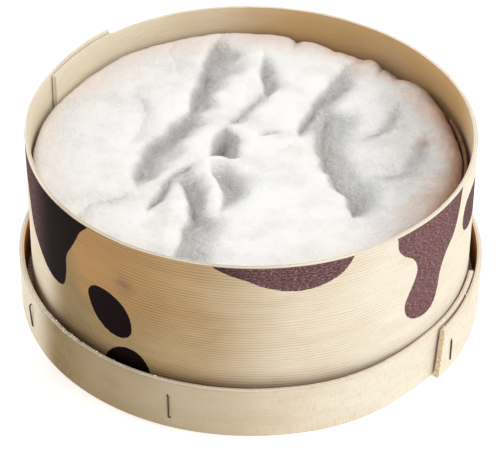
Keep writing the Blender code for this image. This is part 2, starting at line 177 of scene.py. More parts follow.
# Dark dapples printed on the wall: outlines as (angle in degrees, height in millimetres),
# drawn as smooth closed curves. Those that reach the rim run on above it and are cut off there.
DAPPLES = {
    "left_patch": [(-178, 72), (-168, 52.7), (-163, 42.1), (-157.5, 37.3), (-152, 33.6), (-147, 32.6),
                   (-143.4, 34.6), (-142.1, 41), (-141.7, 47.5), (-139.1, 53.5), (-136.3, 60.4), (-133, 73)],
    "left_oval": [(-133.6, 39.2), (-131.5, 32.2), (-127.5, 27.8), (-123, 27.2), (-120.2, 30.5),
                  (-120.6, 37), (-123.6, 42), (-128, 44), (-131.8, 43.2)],
    "left_low": [(-128.4, 16), (-125.9, 21.2), (-122, 23.9), (-118.2, 23.1), (-115.6, 19), (-115, 13),
                 (-118, 8.5), (-123, 8), (-127.5, 11)],
    "front_patch": [(-104, 72), (-99, 65.5), (-94.7, 62.4), (-91, 60.7), (-87.2, 58.3), (-83.4, 56.7),
                    (-79.6, 55.8), (-75.7, 55.9), (-71, 57.5), (-67.2, 60.4), (-64.4, 65.8), (-63, 72)],
    "right_patch": [(-53.5, 72), (-52.2, 65), (-51.8, 60.8), (-50, 57.2), (-46.6, 53.6), (-45, 49),
                    (-45.7, 44.6), (-48, 39), (-48.8, 35), (-47.6, 30.8), (-44.6, 27.9), (-40.6, 27.1),
                    (-37.6, 29.2), (-36, 34.5), (-35.2, 40.4), (-32.8, 46.1), (-29, 50.5), (-26.6, 57),
                    (-25, 66), (-24.4, 72)],
    "right_drop": [(-17.3, 57.1), (-21.5, 55.4), (-23.2, 50.5), (-22.4, 46), (-19.6, 43.2), (-14.5, 41.6),
                   (-6.8, 41), (1, 43.5), (3.5, 48.5), (-2, 53.2), (-10, 56)],
    "back_right_patch": [(22, 72), (24, 62), (29, 57), (31, 50), (29, 42), (32, 35), (38, 33.5),
                         (43, 38), (44, 47), (49, 55), (57, 58), (63, 63), (66, 72)],
    "back_right_low": [(14, 21), (17, 27), (22, 28.5), (26, 24.5), (26.5, 17), (22, 9), (16, 10)],
    "back_spot": [(58, 37), (60.5, 43.5), (66, 46.5), (71.5, 44), (73, 37.5), (70, 31), (64, 28.5),
                  (59.5, 31)],
    "back_patch": [(80, 72), (83, 62), (88, 58.5), (93.5, 60), (98, 58), (103, 59.5), (107, 64), (110, 72)],
    "back_low": [(84, 8), (85.5, 17), (90, 24.5), (96, 28), (101, 24.5), (104, 16), (105, 8)],
    "back_left_drop": [(117, 30), (115.5, 38), (117.5, 47.5), (121, 52.5), (124.5, 48), (125.6, 39),
                       (124, 30.5), (120.5, 26.5)],
    "lap_patch": [(163, 72), (161, 63), (164, 55), (170, 51), (176, 54), (181, 60), (184, 66), (185, 72)],
    "lap_spot": [(154, 25), (157, 31), (163, 33.5), (169, 30.5), (171, 24), (168, 18), (161, 16), (156, 19)],
}
OUTLINE_STEPS = 6
FAR_FROM_PRINT = 50.0
PRINT_MARGIN = 3.0

# The strips' meshes: columns round the box, rows outside, rows inside, and the seed of the sawn edge
WALL_MESH = (700, 60, 16, 20)
BAND_MESH = (900, 14, 8, 30)
STRAP_MESH = (600, 10, 6, 50)

# The strips' small faults: waves round the box with their sizes in millimetres, the degrees that the
# end's slant reaches and that crumble, the sawn edge's lumps as (size, height) in millimetres, its
# fuzz, crumbs as (from, to, count), and roots of splinters as (angle, radius, height)
STRAYS = {2: 0.10, 3: 0.07, 5: 0.05, 9: 0.03}
END_REACH = 12.0
BAND_CRUMBLES = (205.0, 230.0)
STRAP_CRUMBLES = (-10.0, 370.0)
CRUMBLE_EASE = 5
EDGE_LUMPS = [(14, 0.10), (3.1, 0.05)]
EDGE_FUZZ_SIZE = 0.8
EDGE_FUZZ = 0.03
EDGE_FUZZ_ROUGH = 0.22
EDGE_POWER = 12
CRUMB_SEED = 7
SPLINTER_SEED = 11
SPLINTERS_PER_ROOT = 3
CRUMBLY_STRETCHES = [(-153, -133, 60), (-131, -112, 10), (-70, -20, 8)]
SPLINTER_ROOTS = [
    (-124.0, BAND_RADIUS + 0.4 * MM, BAND_TOP), (-117.0, BAND_RADIUS + 0.9 * MM, BAND_TOP),
    (-146.0, BAND_RADIUS + 0.6 * MM, BAND_TOP), (-52.0, BAND_RADIUS - 0.6 * MM, BAND_TOP),
]

# Staples: angle round the box, lower leg, upper leg, and the crown's shape: how far its feet lean
# to the right at the bottom and the top, and how far it stands off there, all in millimetres
WIRE_RADIUS = 0.27 * MM
WIRE_SIDES = 10
LEG_SUNK = 0.8
BAND_STAPLES = {
    "staple_left": (-157.0, 5.2, 14.2, (0.3, -0.5, 0.3, 0.75)),
    "staple_front": (-109.0, 4.2, 13.6, (0.6, -0.4, 0.3, 0.4)),
    "staple_lap": (-34.0, 3.8, 12.4, (0.2, 0.2, 0.25, 0.3)),
    "staple_right": (22.0, 4.6, 13.8, (0.9, 0.4, 0.4, 0.4)),
    "staple_back": (72.0, 4.4, 13.6, (0.4, 0.8, 0.35, 0.5)),
    "staple_back_left": (140.0, 4.8, 14.0, (0.7, 0.2, 0.4, 0.35)),
}
WALL_STAPLES = {
    "staple_wall_low": (144.0, 24.0, 33.5, (0.4, 0.6, 0.35, 0.4)),
    "staple_wall_high": (144.5, 48.0, 57.5, (0.5, 0.3, 0.4, 0.35)),
}

# Colours as they look on screen under white light
CREAM = (229, 222, 206)
TAN = (206, 172, 124)
# Painted shade: the dark umber that stands in for the shaded side of the box
SHADE_UMBER = (128, 108, 72)
SCORCH = (184, 134, 80)
INNER_PALE = (230, 219, 196)
# The inner tan is painted shade where the inside faces away from the key light
INNER_SHADE_TAN = (198, 162, 112)
# Painted shade: the band's inner face is the warm dark brown of the narrow shaded gap between band and wall
BAND_GAP_SHADE_PALE = (196, 124, 62)
BAND_GAP_SHADE_TAN = (150, 84, 34)
STAIN = (196, 158, 132)
LINE_PALE = (196, 178, 148)
LINE_TAN = (72, 52, 28)
FIBRE = (178, 156, 124)
CUT_END = (198, 152, 100)
RIM_PALE = (248, 241, 228)
RIM_TAN = (234, 219, 194)
RIM_LINE = (188, 150, 104)
INK_DENSE = (20, 9, 9)
INK_THIN = (102, 66, 70)
INK_GAP = (204, 178, 170)
BLOOM = (240, 239, 237)
BLOOM_WARM = (238, 234, 228)
PINKISH = (220, 190, 172)
# The creases are painted greyer and browner: partly thinner bloom with rind showing, partly painted shade
CREASE_SHADE_BROWN = (146, 116, 92)
THIN_BLOOM_SHADE = (216, 213, 210)
THIN_BLOOM_SHADE_SHARE = 0.1
# The grey pits of the fluff gather in the creases, where they are partly painted shade
PIT = (196, 189, 184)
BARE_RIND = (176, 126, 94)
SPECK = (206, 198, 190)
BARK_DARK = (86, 50, 32)
BARK_PALE = (138, 90, 62)
BARK_DUST = (158, 116, 96)
WIRE = (62, 56, 52)
WIRE_DULL = (96, 82, 70)

# Round the box from the left (0) by the front (0.25) and the right (0.5) to the back (0.75):
# how tan the wood is outside, partly a tan stain and partly painted shade away from the key light;
# how dark it is outside, which is painted shade; how scorched it is; how tan it is inside, which is
# painted shade; how thin the ink is, partly wear and partly painted shade that leaves it near black
# on the shaded side; and how wide and strong the rind's pinkish edge is
WALL_TAN_AND_SHADE = [
    (0.0, 0.1), (0.08, 0.3), (0.12, 1.0), (0.2, 0.95),
    (0.28, 0.35), (0.36, 0.0), (0.7, 0.2), (1.0, 0.1),
]
BAND_TAN_AND_SHADE = [
    (0.0, 0.0), (0.07, 0.1), (0.12, 0.6), (0.22, 0.4),
    (0.32, 0.1), (0.4, 0.0), (0.7, 0.15), (1.0, 0.0),
]
SIDE_SHADE = [
    (0.0, 0.0), (0.07, 0.08), (0.105, 1.0), (0.15, 0.75),
    (0.21, 0.5), (0.29, 0.0), (1.0, 0.0),
]
SCORCHED = [
    (0.0, 0.0), (0.1, 0.0), (0.125, 1.0), (0.16, 0.8),
    (0.2, 0.35), (0.24, 0.0), (0.9, 0.0), (1.0, 0.0),
]
INNER_SHADE_RAMP = [
    (0.0, 0.05), (0.25, 0.2), (0.5, 0.6), (0.56, 0.9),
    (0.6, 1.0), (0.72, 0.95), (0.79, 0.3), (0.86, 0.0),
]
# The ink is worn thin in places, and painted near black where the box is in shade
INK_WEAR_AND_SHADE = [
    (0.0, 0.9), (0.045, 0.5), (0.09, 0.0), (0.2, 0.0),
    (0.27, 0.8), (0.4, 1.0), (0.45, 0.6), (1.0, 0.9),
]
EDGE_TINT_WIDTH = [(0.0, 0.25), (0.1, 0.2), (0.2, 0.1), (0.34, 0.25), (0.45, 0.9), (0.6, 1.0), (0.72, 0.55),
                   (0.85, 0.5), (1.0, 0.35)]
SMUDGE_ANGLE = -122.0
SMUDGE_HEIGHT = 49.0 * MM
SMUDGE_REACH = 6.0 * MM

# The wood's grain: spacing of its growth lines, how strongly they show, and how much the saw's marks do
WALL_GRAIN = (1.05 * MM, 0.62, 0.12)
BAND_GRAIN = (0.8 * MM, 0.42, 0.34)
BOARD_LINE_SPACING = 2.2 * MM
BOARD_LINES = 0.45
LINE_SWAY = 4.5
LINE_CLIMB = 2.5
SCORCH_LOW = 30 * MM
SCORCH_HIGH = 50 * MM
SCORCH_RAGGED = 30 * MM
SCORCH_SHARE = 0.75
PRINT_EDGE = 0.07
PRINT_BLEED = 0.12
INK_WORN = 0.6
INK_LINES = 0.35
# How strongly the rim takes the painted shade on the side away from the key light
RIM_SHADE = 0.35
RIM_LINE_SHARE = 0.6

# How high the finest relief stands, which is only in the shading
GROOVE_DEPTH = 0.05 * MM
FIBRE_DEPTH = 0.06 * MM
RIND_GRAIN_DEPTH = 0.5 * MM
BARK_GRAIN_DEPTH = 0.15 * MM
BOARD_GRAIN_DEPTH = 0.08 * MM

# How far the rind's edge tint and its bare outer edge reach in from the edge, in millimetres,
# and how strongly its marks show
TINT_REACH = 17.0
TINT_RAGGED = 5.0
BARE_REACH = 7.5
BARE_SHARE = 0.8
CREASE_SHARE = 0.5
SPECK_SHARE = 0.4
PIT_SHARE = 0.18

# Floor, light (azimuth, elevation, size, level, colour) and camera
FLOOR_SIZE = 6.0
FLOOR_WHITE = 0.96
FLOOR_GLOW = 0.3
WORLD_LEVEL = 0.79
WORLD_COLOUR = (1.0, 1.0, 1.0)
LIGHT_DISTANCE = 1.0
LIGHTS = {
    "key": (-4.0, 53.0, 0.6, 0.39, (1.0, 1.0, 0.99)),
    "front": (-50.0, 12.0, 0.6, 0.17, (1.0, 1.0, 1.0)),
    "second": (150.0, 10.0, 0.4, 0.38, (1.0, 1.0, 1.0)),
}
CAMERA_LENS = 170.5
CAMERA_SENSOR = 36.0
CAMERA_ELEVATION = 37.8
CAMERA_ROLL = 0.5
CAMERA_PLACE = (-0.000155, -0.641033, 0.517933)


def srgb(red, green, blue):
    """A colour given as it looks on screen, 0 to 255, as the linear colour a shader takes."""
    shares = (c / 255 for c in (red, green, blue))
    return tuple(s / 12.92 if s <= 0.04045 else ((s + 0.055) / 1.055) ** 2.4 for s in shares)


# Smooth curves, noise and easing


def ease(t):
    t = np.clip(t, 0.0, 1.0)
    return t * t * (3 - 2 * t)


def between(stations, angles):
    """Values at some angles, eased from one station (angle, values...) to the next, one row each."""
    angles = np.asarray(angles, float)
    values = np.array([s[1:] for s in stations], float)
    found = np.tile(values[0], (angles.size, 1))
    for (start, *low), (end, *high) in zip(stations, stations[1:]):
        share = ease((angles - start) / (end - start))[:, None]
        here = np.array(low) + (np.array(high) - np.array(low)) * share
        found = np.where((angles > start)[:, None], here, found)
    return found


def smooth_curve(points, steps, closed=False):
    """A smooth curve through a few points (Catmull-Rom)."""
    p = np.array(points, float)
    if closed:
        p = np.vstack([p[-1], p, p[0], p[1]])
    else:
        p = np.vstack([2 * p[0] - p[1], p, 2 * p[-1] - p[-2]])
    line = []
    for a, b, c, d in zip(p, p[1:], p[2:], p[3:]):
        for t in np.arange(steps) / steps:
            line.append(0.5 * (2 * b + (c - a) * t + (2 * a - 5 * b + 4 * c - d) * t * t
                               + (3 * b - a - 3 * c + d) * t ** 3))
    line.append(p[-2])
    return np.array(line)


def lumps(x, y, size, seed):
    """Smooth random heights from about -1 to 1, with lumps of one size."""
    lattice = np.random.default_rng(seed).uniform(-1, 1, (256, 256))
    u, v = x / size, y / size
    i, j = np.floor(u).astype(int), np.floor(v).astype(int)
    s, t = ease(u - i), ease(v - j)
    i, j, i1, j1 = i % 256, j % 256, (i + 1) % 256, (j + 1) % 256
    low = lattice[i, j] * (1 - s) + lattice[i1, j] * s
    high = lattice[i, j1] * (1 - s) + lattice[i1, j1] * s
    return low * (1 - t) + high * t


# The rind's folds


def nearest_on(points, x, y):
    """Distance to a route, the side of it (+1 on the gentle side) and the share of its length."""
    line = smooth_curve(points, ROUTE_STEPS)
    steps = np.diff(line, axis=0)
    lengths = np.hypot(steps[:, 0], steps[:, 1])
    starts = np.concatenate([[0.0], np.cumsum(lengths)])
    distance = np.full(x.shape, np.inf)
    side = np.zeros(x.shape)
    along = np.zeros(x.shape)
    for (ax, ay), (dx, dy), length, start in zip(line, steps, lengths, starts):
        rx, ry = x - ax, y - ay
        t = np.clip((rx * dx + ry * dy) / length ** 2, 0.0, 1.0)
        here = np.hypot(rx - t * dx, ry - t * dy)
        closer = here < distance
        distance = np.where(closer, here, distance)
        side = np.where(closer, np.sign(dx * ry - dy * rx), side)
        along = np.where(closer, (start + t * length) / starts[-1], along)
    return distance, side, along


def fade(along, ease_in, ease_out):
    shown = np.ones(along.shape)
    if ease_in:
        shown = shown * ease(along / ease_in)
    if ease_out:
        shown = shown * ease((1 - along) / ease_out)
    return shown


def rind_relief(x, y):
    """Height of the folded rind above its mean level, and how deep in a crease, in millimetres."""
    for seed, (size, reach) in enumerate(WAVER):
        seed_x, seed_y = (first + seed for first in WAVER_SEEDS)
        x, y = (x + reach * lumps(x + TURN, y + TURN, size, seed_x),
                y + reach * lumps(x + TURN, y + TURN, size, seed_y))
    dug = np.zeros(x.shape)
    for _, points, depth, rolled, gentle, ease_in, ease_out in CREASES:
        distance, side, along = nearest_on(points, x, y)
        distance = np.hypot(distance, CREASE_ROUND) - CREASE_ROUND
        shown = fade(along, ease_in, ease_out)
        width = np.where(side > 0, gentle, rolled) * (END_WIDTH + (1 - END_WIDTH) * shown)
        near = np.clip(1 - distance / width, 0, 1)
        share = np.where(side > 0, near ** SLOPE_POWER, 1 - np.sqrt(1 - near ** 2))
        dug += (depth * share * shown) ** BLEND_POWER
    dug = dug ** (1 / BLEND_POWER)
    raised = np.zeros(x.shape)
    for _, points, height, width, ease_in, ease_out in RIDGES:
        distance, _, along = nearest_on(points, x, y)
        raised += height * np.exp(-(distance / width) ** 2) * fade(along, ease_in, ease_out)
    return raised - dug, dug


def skin(x, y):
    """The rind's small unevenness, in millimetres, before it is made coarser in places."""
    return sum(height * lumps(x + SKIN_SHIFT, y + SKIN_SHIFT, size, seed)
               for seed, (size, height) in enumerate(SKIN_LUMPS))


def all_round(stations, angles):
    """Values at some angles, eased between stations that go round the whole cheese, in metres."""
    first, last = stations[0], stations[-1]
    closed = [(last[0] - TURN, last[1]), *stations, (first[0] + TURN, first[1])]
    turned = (np.asarray(angles) - closed[0][0]) % TURN + closed[0][0]
    return between(closed, turned)[:, 0] * MM


def strap_tops(angles):
    turned = (np.asarray(angles) - STRAP_START) % TURN + STRAP_START
    return between(STRAP_TOPS, turned)[:, 0] * MM


# Making meshes


def new_piece(name, points, faces, look, replaced=(), attributes=None):
    """A mesh object from points and faces, with its normals out, riding on the box."""
    mesh = bpy.data.meshes.new(name)
    mesh.from_pydata([tuple(p) for p in points], [], faces)
    for key, values in (attributes or {}).items():
        values = np.asarray(values, np.float32)
        kind, field = ("FLOAT_VECTOR", "vector") if values.ndim == 2 else ("FLOAT", "value")
        mesh.attributes.new(key, kind, "POINT").data.foreach_set(field, values.ravel())
    tidy = bmesh.new()
    tidy.from_mesh(mesh)
    bmesh.ops.recalc_face_normals(tidy, faces=tidy.faces)
    tidy.to_mesh(mesh)
    tidy.free()
    mesh.shade_smooth()
    mesh.set_sharp_from_angle(angle=math.radians(SHARP_ANGLE))
    mesh.materials.append(look)
    piece = bpy.data.objects.new(name, mesh)
    bpy.context.scene.collection.objects.link(piece)
    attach(piece, "root")
    if replaced:
        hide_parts(*replaced)
    return piece


def around(angles, radius, z):
    turn = np.radians(angles)
    return np.stack(np.broadcast_arrays(radius * np.cos(turn), radius * np.sin(turn), z), axis=-1)


# Bent strips: a station is (angle, inner radius, bottom, top), and the first is the outer end


def wall_stations():
    layer = WALL_THICKNESS + GAP
    inner = WALL_RADIUS - WALL_INWARD
    return [
        (WALL_OUTER_END, WALL_RADIUS + layer, WALL_BOTTOM, WALL_TOP + WALL_CORNER_RISE),
        (WALL_INNER_END, inner + layer, WALL_BOTTOM, WALL_TOP),
        (WALL_SETTLES, WALL_RADIUS, WALL_BOTTOM, WALL_TOP),
        (WALL_OUTER_END + TURN, WALL_RADIUS, WALL_BOTTOM, WALL_TOP),
        (WALL_INNER_END + TURN, inner, WALL_BOTTOM, WALL_TOP),
    ]


def band_stations():
    layer = BAND_THICKNESS + GAP
    inner = BAND_RADIUS - BAND_INWARD
    return [
        (BAND_OUTER_END, inner + layer + BAND_LIFT, 0.0, BAND_TOP),
        (BAND_INNER_END, inner + layer, 0.0, BAND_TOP),
        (BAND_SETTLES, BAND_RADIUS, 0.0, BAND_TOP),
        (BAND_DIVES + TURN, BAND_RADIUS, 0.0, BAND_TOP),
        (BAND_OUTER_END + TURN, inner, 0.0, BAND_TOP),
        (BAND_INNER_END + TURN, inner, 0.0, BAND_TOP),
    ]


def strap_stations():
    return [(angle, STRAP_RADIUS, STRAP_BOTTOM, top * MM) for angle, top in STRAP_TOPS]


def strip_section(thickness, height, outer_rows, inner_rows):
    """The strip's cross-section as (depth from the inner face, height above the foot), once round."""
    r = EDGE_ROUND

    def corner(depth, rise, degrees):
        return [(depth + r * math.cos(a), rise + r * math.sin(a)) for a in map(math.radians, degrees)]

    return np.array(
        [(thickness, z) for z in np.linspace(r, height - r, outer_rows + 1)]
        + corner(thickness - r, height - r, (45, 90))
        + corner(r, height - r, (90, 135))
        + [(0.0, z) for z in np.linspace(height - r, r, inner_rows + 1)]
        + corner(r, r, (225, 270))
        + corner(thickness - r, r, (270, 315))
    )


def out_of_round(angles):
    """How far a bent strip strays from its circle, in metres."""
    turn = np.radians(angles)
    return sum(size * MM * np.sin(times * turn + times ** 2) for times, size in STRAYS.items())


def ragged(along, seed, rough):
    """Height of a sawn edge above its mean line, in metres."""
    x = along / MM
    waves = [height * lumps(x, x * 0, size, seed + k) for k, (size, height) in enumerate(EDGE_LUMPS)]
    fuzz = lumps(x, x * 0, EDGE_FUZZ_SIZE, seed + len(EDGE_LUMPS))
    return (sum(waves) + (EDGE_FUZZ + EDGE_FUZZ_ROUGH * rough) * fuzz) * MM


def bent_strip(name, stations, thickness, cells, look, replaced,
               slant=0.0, crumbly=(0.0, 0.0), printed=False):
    """One strip bent once round, from its first station to its last."""
    columns, outer_rows, inner_rows, seed = cells
    first, last = stations[0][0], stations[-1][0]
    turned = np.linspace(first, last, columns + 1)
    radius, bottom, top = between(stations, turned).T
    height = stations[1][3] - stations[1][2]
    section = strip_section(thickness, height, outer_rows, inner_rows)
    depth, share = section[:, 0], section[:, 1] / height
    near_end = 1 - ease((turned - first) / END_REACH)
    angles = turned[:, None] + slant * np.outer(near_end, share - 0.5)
    along = np.radians(turned - first) * (radius.mean() + thickness)
    low, high = crumbly
    rough = ease((turned % TURN - low) / CRUMBLE_EASE) * ease((high - turned % TURN) / CRUMBLE_EASE)
    edge = np.outer(ragged(along, seed, rough), share ** EDGE_POWER)
    z = bottom[:, None] + np.outer(top - bottom, share) + edge
    r = radius[:, None] + depth[None, :] + out_of_round(turned)[:, None]
    points = around(angles, r, z).reshape(-1, 3)
    ring = len(section)
    faces = []
    for i in range(columns):
        for k in range(ring):
            a, b = i * ring + k, i * ring + (k + 1) % ring
            faces.append((a, b, b + ring, a + ring))
    faces += [tuple(range(ring)), tuple(columns * ring + k for k in range(ring))]
    across = np.broadcast_to(depth / thickness, r.shape)
    strip = np.stack(np.broadcast_arrays(along[:, None], z, across), axis=-1).reshape(-1, 3)
    attributes = {"strip": strip}
    if printed:
        on_face = across > 1 - 1e-6
        marks = np.where(on_face, print_distance(angles, z / MM), FAR_FROM_PRINT)
        attributes["print"] = marks.ravel()
    return new_piece(name, points, faces, look, [replaced], attributes)


def print_distance(angles, z):
    """Signed distance to the nearest dapple's outline, in millimetres, negative inside it."""
    nearest = np.full(angles.shape, FAR_FROM_PRINT)
    scale = math.radians(1) * (WALL_RADIUS + WALL_THICKNESS) / MM
    for outline in DAPPLES.values():
        line = smooth_curve(outline, OUTLINE_STEPS, closed=True)
        middle = line[:, 0].mean()
        line = line * (scale, 1)
        x = ((angles - middle + TURN / 2) % TURN - TURN / 2 + middle) * scale
        low, high = line.min(axis=0) - PRINT_MARGIN, line.max(axis=0) + PRINT_MARGIN
        near = (x > low[0]) & (x < high[0]) & (z > low[1]) & (z < high[1])
        px, pz = x[near], z[near]
        distance = np.full(px.shape, FAR_FROM_PRINT)
        inside = np.zeros(px.shape, bool)
        for (ax, az), (bx, bz) in zip(line, line[1:]):
            dx, dz = bx - ax, bz - az
            t = np.clip(((px - ax) * dx + (pz - az) * dz) / (dx * dx + dz * dz), 0, 1)
            distance = np.minimum(distance, np.hypot(px - ax - t * dx, pz - az - t * dz))
            if dz:
                inside ^= ((az > pz) != (bz > pz)) & (px < ax + (pz - az) / dz * dx)
        nearest[near] = np.minimum(nearest[near], np.where(inside, -distance, distance))
    return nearest


# The cheese


def cheese(look):
    """The rind: a square grid of cells drawn out to a disc, with a shoulder, a side and a foot."""
    n = CHEESE_CELLS
    rows = np.linspace(-1, 1, n + 1)
    u, v = np.meshgrid(rows, rows)
    x = (u * np.sqrt(1 - v * v / 2)).ravel()
    y = (v * np.sqrt(1 - u * u / 2)).ravel()
    share = np.hypot(x, y)
    angles = np.degrees(np.arctan2(y, x))
    waver = lumps(angles + TURN, angles * 0, EDGE_WAVER_TURN, EDGE_SEED)
    edges = all_round(EDGE_RADII, angles) + EDGE_WAVER * waver
    shoulders = all_round(SHOULDERS, angles)
    inward = np.clip(edges * (1 - share) / shoulders, 0.0, 1.0)
    drop = shoulders * (1 - np.sqrt(1 - (1 - inward) ** 2))
    x, y = x * edges, y * edges
    relief, dug = rind_relief(x / MM, y / MM)
    coarse = COARSE_BASE + COARSE_IN_CREASES * ease(dug / COARSE_CREASE_DEPTH)
    coarse = coarse + COARSE_AT_RIGHT * ease((x / MM - ROUGH_FROM) / ROUGH_REACH)
    z = CHEESE_TOP + (relief + coarse * skin(x / MM, y / MM)) * MM - drop
    rest = strap_tops(angles) + 2 * GAP
    z = np.where(np.hypot(x, y) > CHEESE_SIDE_RADIUS + GAP, np.maximum(z, rest), z)
    points = [np.stack([x, y, z], axis=-1)]
    grid = np.arange((n + 1) ** 2).reshape(n + 1, n + 1)
    corners = [grid[:-1, :-1], grid[:-1, 1:], grid[1:, 1:], grid[1:, :-1]]
    faces = np.stack(corners, axis=-1).reshape(-1, 4).tolist()
    ring = np.concatenate([grid[0, :-1], grid[:-1, -1], grid[-1, :0:-1], grid[:0:-1, 0]])
    a = angles[ring]
    lower_rings = [
        around(a, CHEESE_SIDE_RADIUS, np.minimum(strap_tops(a) + GAP, z[ring] - GAP)),
        around(a, CHEESE_SIDE_RADIUS, CHEESE_BOTTOM + FOOT_ROUND),
        around(a, CHEESE_SIDE_RADIUS - FOOT_ROUND, CHEESE_BOTTOM),
    ]
    count = len(ring)
    start = (n + 1) ** 2
    for lower in lower_rings:
        points.append(lower)
        below = np.arange(start, start + count)
        faces += np.stack([np.roll(ring, 1), ring, below, np.roll(below, 1)], axis=-1).tolist()
        ring = below
        start += count
    faces.append(ring.tolist())
    hidden = np.zeros(count * len(lower_rings))
    attributes = {
        "crease": np.concatenate([dug, hidden]),
        "inset": np.concatenate([edges * (1 - share) / MM, hidden]),
    }
    return new_piece("rind_cheese", np.concatenate(points), faces, look, ["cheese"], attributes)


# Staples, crumbs and splinters


def tube(path, radius, sides):
    """A round wire through the path's points, as points and faces."""
    path = np.array(path, float)
    ahead = np.gradient(path, axis=0)
    points, faces = [], []
    for place, direction in zip(path, ahead):
        turn = Vector(direction).to_track_quat("Z", "X").to_matrix()
        for k in range(sides):
            a = math.tau * k / sides
            points.append(Vector(place) + turn @ Vector((radius * math.cos(a), radius * math.sin(a), 0)))
    for i in range(len(path) - 1):
        for k in range(sides):
            a, b = i * sides + k, i * sides + (k + 1) % sides
            faces.append((a, b, b + sides, a + sides))
    faces += [tuple(range(sides)), tuple((len(path) - 1) * sides + k for k in range(sides))]
    return points, faces


def staple(node, stations, thickness, angle, low, high, shape, look):
    """A wire staple with its crown outside and both legs in the wood."""
    lean_low, lean_high, proud_low, proud_high = shape
    turned = (angle - stations[0][0]) % TURN + stations[0][0]
    surface = between(stations, [turned])[0][0] + thickness + out_of_round(turned)
    degree = math.degrees(1 / surface) * MM
    sunk = -LEG_SUNK
    corners = [
        (lean_low, sunk, low), (lean_low * 0.9, 0.0, low), (0.0, proud_low, low + 0.35),
        (0.0, proud_low, low + 1.0), (0.0, (proud_low + proud_high) / 2, (low + high) / 2),
        (0.0, proud_high, high - 1.0), (0.0, proud_high, high - 0.35),
        (lean_high * 0.9, 0.0, high), (lean_high, sunk, high),
    ]
    path = [around(angle + side * degree, surface + out * MM, z * MM)
            for side, out, z in smooth_curve(corners, 5)]
    points, faces = tube(path, WIRE_RADIUS, WIRE_SIDES)
    return new_piece("wire_" + node, points, faces, look, [node])


def joined(made):
    """Points and faces of several small meshes as one."""
    points, faces = [], []
    for made_points, made_faces in made:
        faces += [tuple(k + len(points) for k in face) for face in made_faces]
        points += made_points
    return points, faces


def crumb(random, place, size):
    """An irregular bit about one size across."""
    ball = bmesh.new()
    bmesh.ops.create_icosphere(ball, subdivisions=2, radius=size / 2)
    squash = Vector(random.uniform(0.55, 1.2, 3))
    points = [Vector(place) + vertex.co * squash * random.uniform(0.75, 1.2) for vertex in ball.verts]
    faces = [tuple(vertex.index for vertex in face.verts) for face in ball.faces]
    ball.free()
    return points, faces


def crumbs(look):
    """Crumbs and fluff of the wood along the lid's rim."""
    random = np.random.default_rng(CRUMB_SEED)
    made = []
    for low, high, count in CRUMBLY_STRETCHES:
        for _ in range(count):
            angle = random.uniform(low, high)
            size = random.uniform(0.25, 0.7) * MM
            radius = BAND_RADIUS + random.uniform(0.1, 0.75) * BAND_THICKNESS
            place = around(angle, radius, BAND_TOP + size * 0.2)
            made.append(crumb(random, place, size))
    points, faces = joined(made)
    return new_piece("rim_crumbs", points, faces, look)


def splinters(look):
    """Fibres that stand off the lid's sawn rim."""
    random = np.random.default_rng(SPLINTER_SEED)
    made = []
    for angle, radius, z in SPLINTER_ROOTS:
        for _ in range(SPLINTERS_PER_ROOT):
            start = angle + random.uniform(-0.8, 0.8)
            length = random.uniform(0.9, 2.2)
            rise = random.uniform(0.1, 0.5)
            path = []
            for t in np.linspace(0, 1, 5):
                out, up = (0.2 + 0.3 * t) * MM, (rise * t * t - 0.12) * MM
                path.append(around(start + length * t, radius + out, z + up))
            made.append(tube(path, random.uniform(0.05, 0.1) * MM, 5))
    points, faces = joined(made)
    return new_piece("rim_splinters", points, faces, look)


# Materials


